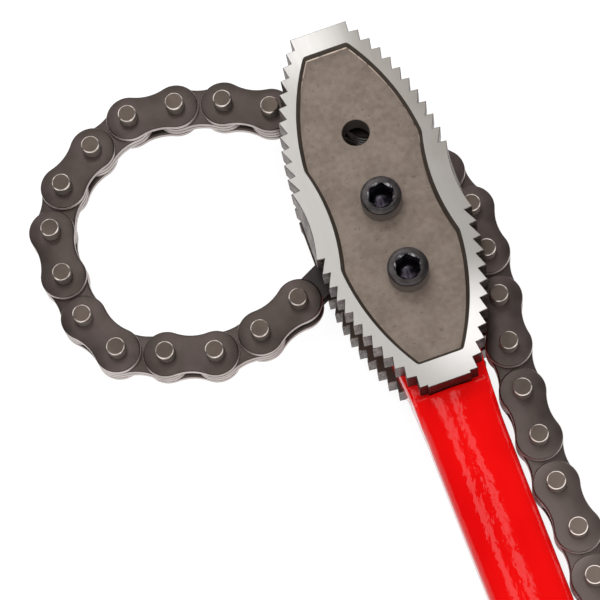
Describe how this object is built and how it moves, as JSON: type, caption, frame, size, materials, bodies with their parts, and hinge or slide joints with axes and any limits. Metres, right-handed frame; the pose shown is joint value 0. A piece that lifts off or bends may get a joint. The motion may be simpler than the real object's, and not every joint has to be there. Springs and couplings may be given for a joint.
{
  "type": "chain pipe wrench",
  "caption": "Chain pipe wrench: serrated jaw plates bolted to a long red forged handle, and a leaf chain on a swinging anchor link that loops round a pipe and back between the jaws.",
  "frame": {"origin": "on the axis of the middle bolt, in the plane of the nuts' outer faces that the tool lies on", "axes": "+Y along the tool from the handle's end to the jaws, +X away from the chain's loop, +Z along the bolts from their nuts to their heads"},
  "size_m": [0.2342, 0.923, 0.0741],
  "materials": {
    "ground_steel": "ground",
    "blackened_steel": "black oxide",
    "red_enamel": "gloss",
    "anchor_steel": "black oxide",
    "inner_link_steel": "dull",
    "outer_plate_steel": "dull",
    "pin_steel": "dull"
  },
  "bodies": {
    "frame": {"handle": "red_enamel", "jaw_front": "ground_steel", "jaw_rear": "ground_steel", "bolt_middle": "blackened_steel", "nut_middle": "blackened_steel", "bolt_lower": "blackened_steel", "nut_lower": "blackened_steel"},
    "anchor": {"anchor_link": "anchor_steel"},
    "link_01": {"chain_outer_plate_01": "outer_plate_steel", "chain_pin_plate_01": "pin_steel"},
    "link_02": {"chain_inner_link_01": "inner_link_steel"},
    "link_03": {"chain_outer_plate_02": "outer_plate_steel", "chain_pin_plate_02": "pin_steel"},
    "link_04": {"chain_inner_link_02": "inner_link_steel"},
    "link_05": {"chain_outer_plate_03": "outer_plate_steel", "chain_pin_plate_03": "pin_steel"},
    "link_06": {"chain_inner_link_03": "inner_link_steel"},
    "link_07": {"chain_outer_plate_04": "outer_plate_steel", "chain_pin_plate_04": "pin_steel"},
    "link_08": {"chain_inner_link_04": "inner_link_steel"},
    "link_09": {"chain_outer_plate_05": "outer_plate_steel", "chain_pin_plate_05": "pin_steel"},
    "link_10": {"chain_inner_link_05": "inner_link_steel"},
    "link_11": {"chain_outer_plate_06": "outer_plate_steel", "chain_pin_plate_06": "pin_steel"},
    "link_12": {"chain_inner_link_06": "inner_link_steel"},
    "link_13": {"chain_outer_plate_07": "outer_plate_steel", "chain_pin_plate_07": "pin_steel"},
    "link_14": {"chain_inner_link_07": "inner_link_steel"},
    "link_15": {"chain_outer_plate_08": "outer_plate_steel", "chain_pin_plate_08": "pin_steel"},
    "link_16": {"chain_inner_link_08": "inner_link_steel"},
    "link_17": {"chain_outer_plate_09": "outer_plate_steel", "chain_pin_plate_09": "pin_steel"},
    "link_18": {"chain_inner_link_09": "inner_link_steel"},
    "link_19": {"chain_outer_plate_10": "outer_plate_steel", "chain_pin_plate_10": "pin_steel"},
    "link_20": {"chain_inner_link_10": "inner_link_steel"},
    "link_21": {"chain_outer_plate_11": "outer_plate_steel", "chain_pin_plate_11": "pin_steel"},
    "link_22": {"chain_inner_link_11": "inner_link_steel"},
    "link_23": {"chain_outer_plate_12": "outer_plate_steel", "chain_pin_plate_12": "pin_steel"},
    "link_24": {"chain_inner_link_12": "inner_link_steel"},
    "link_25": {"chain_outer_plate_13": "outer_plate_steel", "chain_pin_plate_13": "pin_steel"},
    "link_26": {"chain_inner_link_13": "inner_link_steel"},
    "link_27": {"chain_outer_plate_14": "outer_plate_steel", "chain_pin_plate_14": "pin_steel"}
  },
  "joints": [
    {"name": "anchor_swing", "type": "hinge", "parent": "frame", "child": "anchor", "pos_m": [0, 0, 0.0373], "axis": [0, 0, 1], "range_deg": [0, 8]},
    {"name": "pin_01", "type": "hinge", "parent": "anchor", "child": "link_01", "pos_m": [-0.05631, -0.02869, 0.0373], "axis": [0, 0, 1], "range_deg": [0, 12]},
    {"name": "pin_02", "type": "hinge", "parent": "link_01", "child": "link_02", "pos_m": [-0.08002, -0.0378, 0.0373], "axis": [0, 0, 1], "range_deg": [0, 17.5]},
    {"name": "pin_03", "type": "hinge", "parent": "link_02", "child": "link_03", "pos_m": [-0.10531, -0.04023, 0.0373], "axis": [0, 0, 1], "range_deg": [0, 26.5]},
    {"name": "pin_04", "type": "hinge", "parent": "link_03", "child": "link_04", "pos_m": [-0.12932, -0.03196, 0.0373], "axis": [0, 0, 1], "range_deg": [0, 12]},
    {"name": "pin_05", "type": "hinge", "parent": "link_04", "child": "link_05", "pos_m": [-0.15234, -0.02123, 0.0373], "axis": [0, 0, 1], "range_deg": [0, 41]},
    {"name": "pin_06", "type": "hinge", "parent": "link_05", "child": "link_06", "pos_m": [-0.16348, 0.0016, 0.0373], "axis": [0, 0, 1], "range_deg": [0, 21]},
    {"name": "pin_07", "type": "hinge", "parent": "link_06", "child": "link_07", "pos_m": [-0.16657, 0.02681, 0.0373], "axis": [0, 0, 1], "range_deg": [0, 12]},
    {"name": "pin_08", "type": "hinge", "parent": "link_07", "child": "link_08", "pos_m": [-0.16525, 0.05218, 0.0373], "axis": [0, 0, 1], "range_deg": [0, 30]},
    {"name": "pin_09", "type": "hinge", "parent": "link_08", "child": "link_09", "pos_m": [-0.15216, 0.07395, 0.0373], "axis": [0, 0, 1], "range_deg": [0, 25.5]},
    {"name": "pin_10", "type": "hinge", "parent": "link_09", "child": "link_10", "pos_m": [-0.13148, 0.0887, 0.0373], "axis": [0, 0, 1], "range_deg": [0, 15]},
    {"name": "pin_11", "type": "hinge", "parent": "link_10", "child": "link_11", "pos_m": [-0.10802, 0.09842, 0.0373], "axis": [0, 0, 1], "range_deg": [0, 29.5]},
    {"name": "pin_12", "type": "hinge", "parent": "link_11", "child": "link_12", "pos_m": [-0.08271, 0.09621, 0.0373], "axis": [0, 0, 1], "range_deg": [0, 14]},
    {"name": "pin_13", "type": "hinge", "parent": "link_12", "child": "link_13", "pos_m": [-0.05842, 0.08878, 0.0373], "axis": [0, 0, 1], "range_deg": [0, 14]},
    {"name": "pin_14", "type": "hinge", "parent": "link_13", "child": "link_14", "pos_m": [-0.03621, 0.07647, 0.0373], "axis": [0, 0, 1], "range_deg": [0, 12]},
    {"name": "pin_15", "type": "hinge", "parent": "link_14", "child": "link_15", "pos_m": [-0.01205, 0.06862, 0.0373], "axis": [0, 0, 1], "range_deg": [0, 16.5]},
    {"name": "pin_16", "type": "hinge", "parent": "link_15", "child": "link_16", "pos_m": [0.00937, 0.05497, 0.0373], "axis": [0, 0, 1], "range_deg": [0, 19]},
    {"name": "pin_17", "type": "hinge", "parent": "link_16", "child": "link_17", "pos_m": [0.02587, 0.03566, 0.0373], "axis": [0, 0, 1], "range_deg": [0, 18.5]},
    {"name": "pin_18", "type": "hinge", "parent": "link_17", "child": "link_18", "pos_m": [0.0362, 0.01245, 0.0373], "axis": [0, 0, 1], "range_deg": [0, 12]},
    {"name": "pin_19", "type": "hinge", "parent": "link_18", "child": "link_19", "pos_m": [0.04362, -0.01184, 0.0373], "axis": [0, 0, 1], "range_deg": [0, 21]},
    {"name": "pin_20", "type": "hinge", "parent": "link_19", "child": "link_20", "pos_m": [0.04274, -0.03722, 0.0373], "axis": [0, 0, 1], "range_deg": [0, 20]},
    {"name": "pin_21", "type": "hinge", "parent": "link_20", "child": "link_21", "pos_m": [0.04008, -0.06248, 0.0373], "axis": [0, 0, 1], "range_deg": [0, 20]},
    {"name": "pin_22", "type": "hinge", "parent": "link_21", "child": "link_22", "pos_m": [0.03611, -0.08757, 0.0373], "axis": [0, 0, 1], "range_deg": [0, 20]},
    {"name": "pin_23", "type": "hinge", "parent": "link_22", "child": "link_23", "pos_m": [0.03412, -0.11289, 0.0373], "axis": [0, 0, 1], "range_deg": [0, 20]},
    {"name": "pin_24", "type": "hinge", "parent": "link_23", "child": "link_24", "pos_m": [0.03345, -0.13828, 0.0373], "axis": [0, 0, 1], "range_deg": [0, 20]},
    {"name": "pin_25", "type": "hinge", "parent": "link_24", "child": "link_25", "pos_m": [0.03301, -0.16368, 0.0373], "axis": [0, 0, 1], "range_deg": [0, 20]},
    {"name": "pin_26", "type": "hinge", "parent": "link_25", "child": "link_26", "pos_m": [0.035, -0.189, 0.0373], "axis": [0, 0, 1], "range_deg": [0, 20]},
    {"name": "pin_27", "type": "hinge", "parent": "link_26", "child": "link_27", "pos_m": [0.03389, -0.21438, 0.0373], "axis": [0, 0, 1], "range_deg": [0, 20]}
  ]
}
